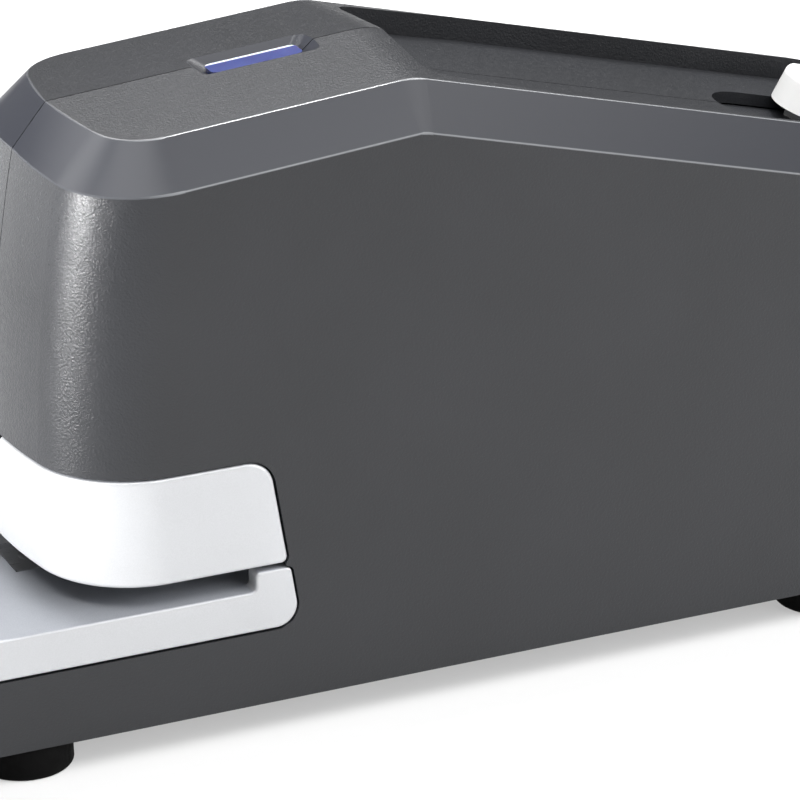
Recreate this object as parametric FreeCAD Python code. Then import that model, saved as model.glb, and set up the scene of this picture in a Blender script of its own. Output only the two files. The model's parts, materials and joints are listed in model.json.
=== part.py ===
import FreeCAD, Part
import math
import os

V = FreeCAD.Vector

# Frame: +Z up from the surface the stapler stands on, nose towards -X, the left side towards -Y.
# All sizes are in millimetres.

# ---- outer body ----
HALF_WIDTH = 35.0        # at the bottom edge
DRAFT = 0.035            # side and rear walls lean in by this much per mm of height
BOTTOM = 6.0             # underside of the body
REAR = 103.0             # rear wall at its foot
JAW_FRONT = -103.0       # front of the lower jaw
JAW_TOP = 27.4           # stapling surface
NOSE_FRONT = -83.0       # foremost point of the nose
NOSE_ARC_Z = 40.0        # height of that point
NOSE_ARC_R = 330.0       # upright curve of the nose
NOSE_PLAN_R = 100.0      # plan curve of the nose
NOSE_CORNER_R = 18.0     # upright corners of the nose
REAR_CORNER_R = 15.0     # upright corners of the rear
JAW_CORNER_R = 8.0       # upright corners of the jaw
PEAK_X, PEAK_Z = -11.2, 115.0
FRONT_RISE = 0.09        # slope of the roof in front of the peak
REAR_FALL = 0.248        # slope of the roof behind the peak
FRONT_GABLE = 0.062      # fall of the front roof from the seam to either side
REAR_GABLE = 0.088       # the same for the rear roof
PEAK_R = 15.0            # softening of the peak
BEVEL = 7.0              # 45 degree bevel all round the roof
BEVEL_EDGE_R = 0.7       # rounding of the bevel's two edges
WALL = 2.2
SEAM = 0.12              # each shell stops this far short of the centre plane
GAP = 0.3                # shadow gap round the silver mouldings

# ---- stapling slot and silver mouldings ----
SLOT_TOP = 31.8          # underside of the nose
SLOT_STOP = -47.3        # back of the paper slot
DECK_LOW = 19.9          # lower edge of the deck's side band
DECK_STEP = 30.9         # deck height behind the slot
DECK_REAR = -40.7        # rear edge of the deck at the step's height
COVER_REAR = -41.1       # rear edge of the nose cover at its foot
COVER_TOP = 51.4
EDGE_LEAN = 0.156        # lean of both rear edges, mm per mm of height
COVER_FLOOR = 2.0
COVER_EDGE_R = 0.7        # rounding of the nose cover's outer edges
DECK_EDGE_R = 0.5
DECK_CHEEK = 3.5          # side walls of the deck behind the slot
STOP_WALL = 1.2           # wall that stops the paper

# ---- trough and release button, along the rear roof from its datum ----
ROOF_DATUM_X = -10.0
TROUGH_DEPTH = 6.3       # below the ridge plane
TROUGH_START, TROUGH_END = 2.0, 110.5
BUTTON_START, BUTTON_END = 87.5, 107.5
BUTTON_HALF = 11.0
BUTTON_BOW = 18.0        # plan curve of the button's front
BUTTON_LEAN = 1.6        # its front leans back by this much
RUNNER_START, RUNNER_END = 73.2, 105.0   # slot that the button runs in
RUNNER_HALF = 9.3

# ---- lamp window ----
LAMP_X = -32.5
LAMP_LENGTH, LAMP_WIDTH, LAMP_DEPTH = 23.0, 9.6, 2.0

# ---- mechanism ----
PLATE_IN, PLATE_OUT = 14.0, 15.6        # inner and outer faces of the frame plates
CAM_X, CAM_Z = 14.0, 73.0               # cam shaft
PIVOT_X, PIVOT_Z = -12.0, 63.0          # drive lever's pin
TIP_X, TIP_Z = -72.0, 70.0              # lever tip at rest
STROKE = 14.0                           # driver travel
ROLLER_ARM, ROLLER_ANGLE = 22.0, 60.0   # roller's place on the lever
ROLLER_R = 5.0
CAM_PITCH = 17.0                        # cam centre to roller centre at rest
CAM_TURN = 170.0                        # degrees of cam turn for one drive
RUN_GAP = 0.3                           # between the cam and its roller
LAYER_1, LAYER_2 = (16.3, 21.8), (22.8, 28.3)   # the two gear planes outside the right plate
MOTOR_WHEEL = (0.8, 12, 42)             # module, pinion teeth, wheel teeth
MIDDLE_WHEEL = (1.0, 14, 46)
CAM_WHEEL = (1.25, 15, 36)
MIDDLE_DIRECTION, FIRST_DIRECTION, MOTOR_DIRECTION = -22.0, -45.0, 50.0
SHAFT_R = 3.0
STUD_R = 2.0
FIT = 0.05                              # radial clearance of a running fit

# ---- magazine ----
TRACK_HALF = 7.4
TRACK_FRONT, TRACK_REAR = -77.0, 6.0
TRACK_FLOOR, TRACK_TOP = 33.8, 46.4
STRIP_REAR = -30.0
PUSHER_LENGTH = 11.0
BLADE_X = -77.9
BLADE_THICK = 0.6
BLADE_LOW = 48.0

# ---- release latch and paper trigger ----
LATCH_X, LATCH_Z = 34.0, 52.0
TRIGGER_X, TRIGGER_Z = -48.0, 17.0

# ---- fastenings: places on the centre plane (x, z) and on the base (x, y) ----
SHELL_BOSSES = [(-68.0, 97.0), (-8.0, 101.8), (91.0, 74.6), (94.0, 28.0), (-12.0, 14.0), (-74.0, 13.6)]
FOOT_PLACES = [(-88.1, 26.1), (70.1, 26.1)]
FRAME_TABS = [(-35.0, -22.0), (40.0, 56.0)]
SPACERS = [(-50.0, 86.0), (50.0, 78.0), (46.0, 26.0), (-25.0, 26.0)]


# ---------------------------------------------------------------- helpers
def box(x0, x1, y0, y1, z0, z1):
    return Part.makeBox(x1 - x0, y1 - y0, z1 - z0, V(x0, y0, z0))


def rod_y(x, z, radius, y0, y1):
    return Part.makeCylinder(radius, y1 - y0, V(x, y0, z), V(0, 1, 0))


def rod_z(x, y, radius, z0, z1):
    return Part.makeCylinder(radius, z1 - z0, V(x, y, z0), V(0, 0, 1))


def rod_x(y, z, radius, x0, x1):
    return Part.makeCylinder(radius, x1 - x0, V(x0, y, z), V(1, 0, 0))


def tube_y(x, z, outer, inner, y0, y1):
    return rod_y(x, z, outer, y0, y1).cut(rod_y(x, z, inner, y0 - 1, y1 + 1))


def rounded_wire(corners):
    """Closed wire through (u, v, radius) corners given as vectors, each rounded by its radius."""
    edges, first, last = [], None, None
    count = len(corners)
    for i, (point, radius) in enumerate(corners):
        before, after = corners[i - 1][0], corners[(i + 1) % count][0]
        if radius:
            a, b = (before - point).normalize(), (after - point).normalize()
            half = a.getAngle(b) / 2
            reach = radius / math.tan(half)
            start, end = point + a * reach, point + b * reach
            middle = point + (a + b).normalize() * (radius / math.sin(half) - radius)
        else:
            start = end = middle = point
        if last is not None:
            edges.append(Part.makeLine(last, start))
        if radius:
            edges.append(Part.Arc(start, middle, end).toShape())
        first, last = first or start, end
    edges.append(Part.makeLine(last, first))
    return Part.Wire(edges)


def plate_y(points, y0, y1):
    """Plate from an XZ outline of (x, z) or (x, z, corner radius), from y0 to y1."""
    corners = [(V(p[0], y0, p[1]), p[2] if len(p) > 2 else 0) for p in points]
    return Part.Face(rounded_wire(corners)).extrude(V(0, y1 - y0, 0))


def plate_z(points, z0, z1):
    corners = [(V(p[0], p[1], z0), p[2] if len(p) > 2 else 0) for p in points]
    return Part.Face(rounded_wire(corners)).extrude(V(0, 0, z1 - z0))


def plate_x(points, x0, x1):
    corners = [(V(x0, p[0], p[1]), p[2] if len(p) > 2 else 0) for p in points]
    return Part.Face(rounded_wire(corners)).extrude(V(x1 - x0, 0, 0))


def block(x0, x1, y0, y1, z0, z1, radius):
    """Box with rounded upright edges."""
    return plate_z([(x0, y0, radius), (x1, y0, radius), (x1, y1, radius), (x0, y1, radius)], z0, z1)


def mirrored(shape):
    return shape.mirror(V(0, 0, 0), V(0, 1, 0))


def both_halves(half):
    return half.fuse(mirrored(half)).removeSplitter()


def fused(shapes):
    return shapes[0].multiFuse(shapes[1:]).removeSplitter() if len(shapes) > 1 else shapes[0]


def coil(start, direction, length, radius, wire, turns):
    """Closed coil spring of round wire along direction, with the helix radius given."""
    run = length - wire
    helix = Part.makeHelix(run / turns, run, radius)
    ring = Part.Wire(Part.makeCircle(wire / 2, V(radius, 0, 0), V(0, 1, 0)))
    spring = Part.Wire(helix).makePipeShell([ring], True, True)
    spring.translate(V(0, 0, wire / 2))
    spring.Placement = FreeCAD.Placement(start, FreeCAD.Rotation(V(0, 0, 1), direction)).multiply(
        spring.Placement)
    return spring


def polar(x, z, distance, degrees):
    turn = math.radians(degrees)
    return x + distance * math.cos(turn), z + distance * math.sin(turn)


MIDDLE_X, MIDDLE_Z = polar(CAM_X, CAM_Z, CAM_WHEEL[0] * (CAM_WHEEL[1] + CAM_WHEEL[2]) / 2, MIDDLE_DIRECTION)
FIRST_X, FIRST_Z = polar(MIDDLE_X, MIDDLE_Z, MIDDLE_WHEEL[0] * sum(MIDDLE_WHEEL[1:]) / 2, FIRST_DIRECTION)
MOTOR_X, MOTOR_Z = polar(FIRST_X, FIRST_Z, MOTOR_WHEEL[0] * sum(MOTOR_WHEEL[1:]) / 2, MOTOR_DIRECTION)
LEVER_TURN = 2 * math.degrees(math.atan((STROKE / 2) / (PIVOT_X - TIP_X)))
REAR_SLOPE = math.degrees(math.atan(REAR_FALL))
FRONT_SLOPE = math.degrees(math.atan(FRONT_RISE))


def on_rear_roof(shape):
    """Moves a shape built along the rear slope (x down the slope from the datum, z off it) into place."""
    datum = V(ROOF_DATUM_X, 0, PEAK_Z - REAR_FALL * (ROOF_DATUM_X - PEAK_X))
    shape.Placement = FreeCAD.Placement(
        datum, FreeCAD.Rotation(V(0, 1, 0), REAR_SLOPE)).multiply(shape.Placement)
    return shape


def on_front_roof(shape):
    """Moves a shape built about the lamp window, z off the front slope, into place."""
    centre = V(LAMP_X, 0, PEAK_Z + FRONT_RISE * (LAMP_X - PEAK_X))
    shape.Placement = FreeCAD.Placement(
        centre, FreeCAD.Rotation(V(0, 1, 0), -FRONT_SLOPE)).multiply(shape.Placement)
    return shape


# ---------------------------------------------------------------- outer body
def roof_height(x, y):
    front = PEAK_Z + FRONT_RISE * (x - PEAK_X) - FRONT_GABLE * abs(y)
    rear = PEAK_Z - REAR_FALL * (x - PEAK_X) - REAR_GABLE * abs(y)
    return min(front, rear)


def roof_solid(inset, start):
    """Everything under the roof, from y = start towards -Y."""
    run, reach, low = HALF_WIDTH + 10, 140.0, -10.0
    slabs = []
    for slope, gable in ((FRONT_RISE, FRONT_GABLE), (-REAR_FALL, REAR_GABLE)):
        top = PEAK_Z + gable * start - inset
        corners = [
            V(-reach, start, low), V(reach, start, low), V(reach, start, top + slope * (reach - PEAK_X)),
            V(-reach, start, top - slope * (reach + PEAK_X))]
        face = Part.Face(Part.makePolygon(corners + corners[:1]))
        slabs.append(face.extrude(V(0, -run, -gable * run)))
    roof = slabs[0].common(slabs[1])
    peak = [e for e in roof.Edges if e.BoundBox.YLength > run - 1 and e.BoundBox.ZMin > 100]
    return roof.makeFillet(PEAK_R - inset, peak)


def nose_solid(inset):
    """Turned solid whose skin is the front of the nose."""
    radius = NOSE_ARC_R - inset
    centre = V(NOSE_FRONT + NOSE_ARC_R, 0, NOSE_ARC_Z)
    axis_x = NOSE_FRONT + NOSE_PLAN_R
    low, high = 10.0, 130.0

    def skin(z):
        return V(centre.x - math.sqrt(radius ** 2 - (z - NOSE_ARC_Z) ** 2), 0, z)

    bottom, top = V(axis_x, 0, low), V(axis_x, 0, high)
    edges = [
        Part.makeLine(bottom, skin(low)), Part.Arc(skin(low), skin(NOSE_ARC_Z + 20), skin(high)).toShape(),
        Part.makeLine(skin(high), top), Part.makeLine(top, bottom)]
    return Part.Face(Part.Wire(edges)).revolve(V(axis_x, 0, 0), V(0, 0, 1), 360)


def envelope(inset=0.0, centre=0.0):
    """Left half of the body, every wall moved in by inset, cut off at y = centre."""
    low, high = BOTTOM - (5 if inset else 0), 130.0

    def side(z):
        return -(HALF_WIDTH - inset - DRAFT * (z - BOTTOM))

    section = plate_x([(centre, low), (side(low), low), (side(high), high), (centre, high)], -130, 130)
    rear_low, rear_high = (REAR - inset - DRAFT * (z - BOTTOM) for z in (low, high))
    profile = plate_y(
        [(JAW_FRONT + inset, low), (rear_low, low), (rear_high, high), (JAW_FRONT + inset, high)], 5, -45)
    body = section.common(profile).common(roof_solid(inset, 3.0))
    body = body.cut(box(-130, -45, -50, 10, JAW_TOP - inset, 135).cut(nose_solid(inset)))
    for radius, ahead, behind in ((JAW_CORNER_R, -110, -95), (NOSE_CORNER_R, -95, -60), (REAR_CORNER_R, 60, 110)):
        upright = [
            e for e in body.Edges
            if e.BoundBox.ZLength > 10 and e.BoundBox.YMax < -20 and e.BoundBox.XLength < 12
            and ahead < e.BoundBox.XMin and e.BoundBox.XMax < behind]
        body = body.makeFillet(radius - inset, upright)
    body = body.makeChamfer(BEVEL - 0.586 * inset, roof_edges(body, inset, centre))
    if inset:
        return body
    return body.makeFillet(BEVEL_EDGE_R, roof_edges(body, 0, centre) + roof_edges(body, BEVEL, centre))


def roof_edges(body, depth, centre):
    """Edges of the left half that run round the body at this depth below the roof."""
    edges = []
    for e in body.Edges:
        p = e.valueAt((e.FirstParameter + e.LastParameter) / 2)
        across_peak = abs(p.x - PEAK_X) < 8 and p.y > -22
        if abs(roof_height(p.x, p.y) - p.z - depth) < 0.6 and p.y < centre - 0.5 and not across_peak:
            edges.append(e)
    return edges


def level_edges(body, z):
    """Outer edges at this height; rounding them goes on round the rest of the moulding's outline."""
    return [e for e in body.Edges if max(abs(e.BoundBox.ZMin - z), abs(e.BoundBox.ZMax - z)) < 0.01
            and e.BoundBox.YLength < 60]


def deck_outline(grow):
    """Side outline of the whole silver deck, grown by the shadow gap."""
    foot_x = DECK_REAR + EDGE_LEAN * (DECK_STEP - DECK_LOW)
    return [
        (-115, DECK_LOW - grow), (foot_x + grow, DECK_LOW - grow, 4 + grow),
        (DECK_REAR + grow, DECK_STEP + grow, 1.0 + grow), (SLOT_STOP, DECK_STEP + grow)]


def cover_outline(grow):
    """Side outline of the nose cover, grown by the shadow gap."""
    top_x = COVER_REAR - EDGE_LEAN * (COVER_TOP - SLOT_TOP)
    return [
        (-115, SLOT_TOP - grow), (COVER_REAR + grow, SLOT_TOP - grow, 1.2 + grow),
        (top_x + grow, COVER_TOP + grow, 5 + grow), (-115, COVER_TOP + grow)]


def notch(grow):
    """Tongue of the shells in the middle of the nose cover's top edge."""
    top, low = 6.0 + grow, 3.6 + grow
    z = COVER_TOP - 5.0 - grow
    return plate_x([(-low, z, 1.0), (low, z, 1.0), (top, 60), (-top, 60)], -90, -72)


def trough(grow):
    """Long hollow in the rear roof, walls and floor moved out by grow."""
    narrow, wide = 21.0 + grow, 24.0 + grow
    start, end = TROUGH_START - grow, TROUGH_END + grow
    outline = [
        (start, -narrow, 5 + grow), (28, -wide), (end, -wide, 7 + grow),
        (end, wide, 7 + grow), (28, wide), (start, narrow, 5 + grow)]
    return on_rear_roof(plate_z(outline, -TROUGH_DEPTH - grow, 12))


def release_slot():
    low, tip, half = -TROUGH_DEPTH - 5, RUNNER_START + RUNNER_HALF, RUNNER_HALF
    straight = plate_z([(tip, -half), (RUNNER_END, -half, 3), (RUNNER_END, half, 3), (tip, half)], low, 0)
    return on_rear_roof(straight.fuse(rod_z(tip, 0, half, low, 0)).removeSplitter())


def lamp_recess(grow):
    """Sloping sided pocket with a flat floor that the lamp window fills."""
    depth = LAMP_DEPTH + grow
    top = [LAMP_LENGTH / 2 + grow + 0.5, LAMP_WIDTH / 2 + grow + 0.5]
    low = [LAMP_LENGTH / 2 - 2.8 + grow, LAMP_WIDTH / 2 - 2.3 + grow]
    rings = []
    for (a, b), z in ((low, -depth), (top, 0.4)):
        corners = [(V(x, y, z), 1.6) for x, y in ((-a, -b), (a, -b), (a, b), (-a, b))]
        rings.append(rounded_wire(corners))
    return on_front_roof(Part.makeLoft(rings, True, True))


def lamp_opening():
    a, b = LAMP_LENGTH / 2 - 2.9, LAMP_WIDTH / 2 - 2.4
    return on_front_roof(block(-a, a, -b, b, -9, 0, 1.2))


def liner():
    """Inner side wall behind the nose cover, joined to the shell above and behind it."""
    outer, step, inner = envelope(3.0, 1.0), envelope(2.0, 1.0), envelope(4.6, 2.0)
    reach = box(-72, -38, -40, -20, 34.6, 54)
    ledge = box(-72, -38, -40, -20, COVER_TOP + 0.8, 54).fuse(box(-39.8, -38, -40, -20, 34.6, 54))
    return outer.cut(inner).common(reach).fuse(step.cut(inner).common(ledge))


def shell_half():
    outer = envelope(0.0, -SEAM)
    front = plate_y(cover_outline(GAP), -45, 5).cut(notch(-0.3))
    mouth = box(-115, COVER_REAR - 0.5, -45, 5, JAW_TOP - 1, SLOT_TOP + 1)
    deck = plate_y([(-115, DECK_STEP + GAP)] + deck_outline(GAP)[:3], -45, 5)
    inner = envelope(WALL, 1.0).cut(trough(WALL)).cut(lamp_recess(1.6))
    half = outer.cut(trough(0.0)).cut(lamp_recess(0.0)).cut(inner)
    half = half.cut(front).cut(mouth).cut(deck)
    half = half.cut(release_slot()).cut(lamp_opening())
    half = half.fuse(liner())
    wall = envelope(0.8, 1.0)
    posts = [rod_y(x, z, 3.5, -40, -SEAM).common(wall) for x, z in SHELL_BOSSES]
    half = fused([half] + posts)
    seam_side = box(-120, 120, -SEAM, 10, 0, 130)
    return half.cut(seam_side).removeSplitter()


def make_shells(half):
    left, right = half, mirrored(half)
    for x, z in SHELL_BOSSES:
        left = left.cut(rod_y(x, z, 1.25, -14, 1))
        right = right.cut(rod_y(x, z, 1.7, -1, 40)).cut(rod_y(x, z, 3.0, 17.5, 40))
    jack = rod_x(-18, 18.6, 4.6, 95, 105)
    return {"left_shell": left.cut(jack), "right_shell": right}


def make_shell_screws():
    screws = []
    for x, z in SHELL_BOSSES:
        shank = rod_y(x, z, 1.25, -13, 17.5)
        head = rod_y(x, z, 2.7, 17.5, 19.6).cut(box(x - 2, x + 2, 18.6, 20, z - 0.3, z + 0.3))
        head = head.cut(box(x - 0.3, x + 0.3, 18.6, 20, z - 2, z + 2))
        screws.append(shank.fuse(head))
    return screws


# ---------------------------------------------------------------- base
def make_base(full_inside):
    floor = full_inside.common(box(-110, 110, -40, 40, BOTTOM, BOTTOM + 2.4))
    top = BOTTOM + 2.4
    plate = fused([floor] + [rod_z(x, s * y, 4.5, top - 0.5, 13.6) for x, y in FOOT_PLACES for s in (-1, 1)])
    for x, y in FOOT_PLACES:
        for s in (-1, 1):
            plate = plate.cut(rod_z(x, s * y, 1.6, 0, 20))
    for x0, x1 in FRAME_TABS:
        for s in (-1, 1):
            plate = plate.cut(rod_z((x0 + x1) / 2, s * 21, 1.5, 0, 20))
    return {"base_plate": plate}


def make_feet():
    feet, screws = [], []
    for x, y in FOOT_PLACES:
        for s in (-1, 1):
            disc = Part.makeCone(8.85, 8.6, BOTTOM, V(x, s * y, 0), V(0, 0, 1))
            disc = disc.makeFillet(0.7, [e for e in disc.Edges if e.BoundBox.ZMax < 0.1])
            feet.append(disc.cut(rod_z(x, s * y, 3.4, -1, 3)).cut(rod_z(x, s * y, 1.6, -1, 8)))
            head = rod_z(x, s * y, 3.0, 1.2, 3.0).cut(box(x - 2.2, x + 2.2, s * y - 0.4, s * y + 0.4, 0, 2))
            screws.append(head.fuse(rod_z(x, s * y, 1.6, 3.0, 12)))
    return {"rubber_feet": feet, "foot_screws": screws}


def make_deck(full_outer, full_inside):
    outline = deck_outline(0)[:3] + [(SLOT_STOP, DECK_STEP, 1.0), (SLOT_STOP, JAW_TOP, 1.0), (-115, JAW_TOP)]
    skin = full_outer.common(plate_y(outline, -45, 45))
    skin = skin.makeFillet(DECK_EDGE_R, level_edges(skin, JAW_TOP))
    underside = JAW_TOP - WALL
    hollow = plate_y([(-112, 10), (-112, underside), (-30, underside), (-30, 10)], -45, 45)
    deck = skin.cut(full_inside.common(hollow))
    inner_y = HALF_WIDTH - DRAFT * (JAW_TOP - BOTTOM) - DECK_CHEEK
    deck = deck.cut(box(SLOT_STOP - 1, DECK_REAR - STOP_WALL, -inner_y, inner_y, JAW_TOP, DECK_STEP + 1))
    deck = deck.cut(box(-82.4, -72.8, -9.2, 9.2, 25.9, 30))
    deck = deck.cut(block(-54.5, -44.6, -2.4, 2.4, 20, 35, 0.8))
    anvil = block(-82.3, -72.9, -9.1, 9.1, 25.9, JAW_TOP, 0.8)
    groove = Part.makeSphere(4.2)
    for s in (-1, 1):
        scoop = groove.copy()
        scoop.translate(V(-77.6, s * 3.4, JAW_TOP + 3.5))
        anvil = anvil.cut(scoop)
    return {"stapling_deck": deck, "anvil": anvil}


# ---------------------------------------------------------------- frame
def make_frame():
    front_top = [(-76, 36), (-39, 36, 2), (-35, 28, 2), (-35, BOTTOM + 2.4)]
    foot = [(-22, BOTTOM + 2.4), (-22, 20, 2), (40, 20, 2), (40, BOTTOM + 2.4), (56, BOTTOM + 2.4), (56, 22, 2)]
    roof = [(29, 91, 3), (-8, 94, 3), (-40, 92, 3), (-73.5, 83, 3), (-76, 66, 3)]
    rear_right = [(82, 22, 3), (92, 42, 3), (92, 62, 3), (60, 84, 3)]
    rear_left = [(60, 22, 3), (60, 84, 3)]
    plates = {}
    for name, rear, s in (("frame_plate_left", rear_left, -1), ("frame_plate_right", rear_right, 1)):
        plate = plate_y(front_top + foot + rear + roof, s * PLATE_IN, s * PLATE_OUT)
        for x0, x1 in FRAME_TABS:
            low, high = sorted((s * PLATE_OUT, s * 25))
            plate = plate.fuse(box(x0, x1, low, high, BOTTOM + 2.4, BOTTOM + 4))
            plate = plate.cut(rod_z((x0 + x1) / 2, s * 21, 1.7, 0, 20))
        plate = plate.cut(rod_y(CAM_X, CAM_Z, 4.5, -30, 30)).cut(rod_y(PIVOT_X, PIVOT_Z, 2.5, -30, 30))
        plates[name] = plate.removeSplitter()
    right = plates["frame_plate_right"]
    for x, z in ((MIDDLE_X, MIDDLE_Z), (FIRST_X, FIRST_Z)):
        right = right.cut(rod_y(x, z, STUD_R, 0, 30))
    right = right.cut(rod_y(MOTOR_X, MOTOR_Z, 4.2, 0, 30))
    for turn in (0, 180):
        x, z = polar(MOTOR_X, MOTOR_Z, 9.5, turn)
        right = right.cut(rod_y(x, z, 1.3, 0, 30))
    plates["frame_plate_right"] = right
    spacers, screws = [], []
    for x, z in SPACERS:
        spacers.append(rod_y(x, z, 3.0, -PLATE_IN, PLATE_IN))
        for s in (-1, 1):
            y0, y1 = sorted((s * PLATE_OUT, s * (PLATE_OUT + 0.9)))
            screws.append(rod_y(x, z, 2.6, y0, y1))
    for x0, x1 in FRAME_TABS:
        for s in (-1, 1):
            x, y, top = (x0 + x1) / 2, s * 21, BOTTOM + 4
            screws.append(rod_z(x, y, 2.8, top, top + 1.8).fuse(rod_z(x, y, 1.5, BOTTOM, top)))
    studs = [rod_y(x, z, STUD_R, PLATE_IN, 29.4) for x, z in ((MIDDLE_X, MIDDLE_Z), (FIRST_X, FIRST_Z))]
    studs += [tube_y(x, z, 3.4, STUD_R, 28.6, 29.2) for x, z in ((MIDDLE_X, MIDDLE_Z), (FIRST_X, FIRST_Z))]
    bushes = []
    for y0, y1 in ((-PLATE_OUT - 0.6, -PLATE_IN + 2), (PLATE_IN - 2, PLATE_OUT)):
        bushes.append(tube_y(CAM_X, CAM_Z, 4.5, SHAFT_R + FIT, y0, y1))
    bushes.append(tube_y(MOTOR_X, MOTOR_Z, 2.2, 1.5 + FIT, PLATE_IN - 1.4, PLATE_IN + 1.2))
    for turn in (0, 180):
        x, z = polar(MOTOR_X, MOTOR_Z, 9.5, turn)
        screws.append(rod_y(x, z, 1.3, PLATE_IN, PLATE_OUT))
    pins = [
        rod_y(PIVOT_X, PIVOT_Z, 2.5, -PLATE_OUT - 0.8, PLATE_OUT),
        rod_y(LATCH_X, LATCH_Z, 1.5, -PLATE_IN, -7.6).fuse(rod_y(LATCH_X, LATCH_Z, 2.6, -8.2, -7.6)),
        rod_y(TRIGGER_X, TRIGGER_Z, 1.2, -5, 5)]
    return {
        **plates, "frame_spacers": spacers, "frame_screws": screws, "gear_studs": studs,
        "shaft_bushes": bushes, "pivot_pins": pins}


def make_magazine_guides():
    """Channel rails that the drawer's track slides between, one on each frame plate."""
    rails = []
    for s in (-1, 1):
        web = box(-66, -8, 12.4, PLATE_IN, 36.5, 41.5)
        lips = box(-66, -8, TRACK_HALF + 0.35, 12.4, 36.5, 37.7).fuse(
            box(-66, -8, TRACK_HALF + 0.35, 12.4, 40.3, 41.5))
        rail = web.fuse(lips).removeSplitter()
        rails.append(rail if s > 0 else mirrored(rail))
    return {"magazine_guides": rails}


# ---------------------------------------------------------------- gears and cam
def gear(spec, teeth, place, phase, span, bore):
    """Spur gear about a Y axis. Wheels and pinions share the module; phase is a tooth's direction."""
    module, pinion_teeth = spec[0], spec[1]
    addendum = 0.9 if teeth == pinion_teeth else 0.75
    pitch_r = module * teeth / 2
    base_r = pitch_r * math.cos(math.radians(20))
    tip_r, root_r = pitch_r + addendum * module, pitch_r - 1.15 * module
    slack = 0.045 * module / pitch_r
    flat = math.tan(math.radians(20)) - math.radians(20)
    half_tooth = math.pi / (2 * teeth) - slack + flat

    def half_angle(r):
        roll = math.sqrt(max((r / base_r) ** 2 - 1, 0))
        return half_tooth - (roll - math.atan(roll))

    start_r = max(base_r, root_r + 0.05)
    radii = [root_r] + [start_r + (tip_r - start_r) * i / 4 for i in range(5)]
    points = []
    for tooth in range(teeth):
        centre = math.radians(phase) + 2 * math.pi * tooth / teeth
        flank = [(r, half_angle(max(r, start_r))) for r in radii]
        for r, a in [(r, -a) for r, a in flank] + flank[::-1]:
            points.append(V(place[0] + r * math.cos(centre + a), span[0], place[1] + r * math.sin(centre + a)))
    disc = Part.Face(Part.makePolygon(points + points[:1])).extrude(V(0, span[1] - span[0], 0))
    return disc.cut(rod_y(place[0], place[1], bore, span[0] - 1, span[1] + 1))


def lever_point(x, z, degrees):
    """A lever point after the lever has turned, nose end downwards."""
    turn = math.radians(degrees)
    dx, dz = x - PIVOT_X, z - PIVOT_Z
    return (
        PIVOT_X + dx * math.cos(turn) - dz * math.sin(turn),
        PIVOT_Z + dx * math.sin(turn) + dz * math.cos(turn))


ROLLER_X, ROLLER_Z = polar(PIVOT_X, PIVOT_Z, ROLLER_ARM, ROLLER_ANGLE)


def cam_profile():
    """Cam outline: the roller's path seen from the turning cam, moved in by the roller's radius.

    The lever turns by the same amount for every degree of cam; the rest of the turn falls back."""
    def path(turn):
        share = turn / CAM_TURN
        if share <= 1:
            x, z = lever_point(ROLLER_X, ROLLER_Z, LEVER_TURN * share)
            dx, dz = x - CAM_X, z - CAM_Z
            return math.hypot(dx, dz), math.degrees(math.atan2(dz, dx)) - turn
        back = min((turn - CAM_TURN) / 110.0, 1.0)
        low, high = path(0), path(CAM_TURN)
        ease = (1 + math.cos(math.pi * back)) / 2
        rest = (turn - CAM_TURN) / (360 - CAM_TURN)
        angle = high[1] + (low[1] - 360 - high[1]) * rest
        return low[0] + (high[0] - low[0]) * ease, angle

    track = []
    for step in range(120):
        r, angle = path(step * 3.0)
        track.append(V(*polar(0, 0, r, angle), 0))
    outline = []
    for i, point in enumerate(track):
        along = (track[(i + 1) % 120] - track[i - 1]).normalize()
        inward = V(along.y, -along.x, 0)
        if inward.dot(point) > 0:
            inward = inward * -1
        moved = point + inward * (ROLLER_R + RUN_GAP)
        outline.append(V(CAM_X + moved.x, 0, CAM_Z + moved.y))
    curve = Part.BSplineCurve()
    curve.interpolate(outline, PeriodicFlag=True)
    return Part.Wire(curve.toShape())


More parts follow.
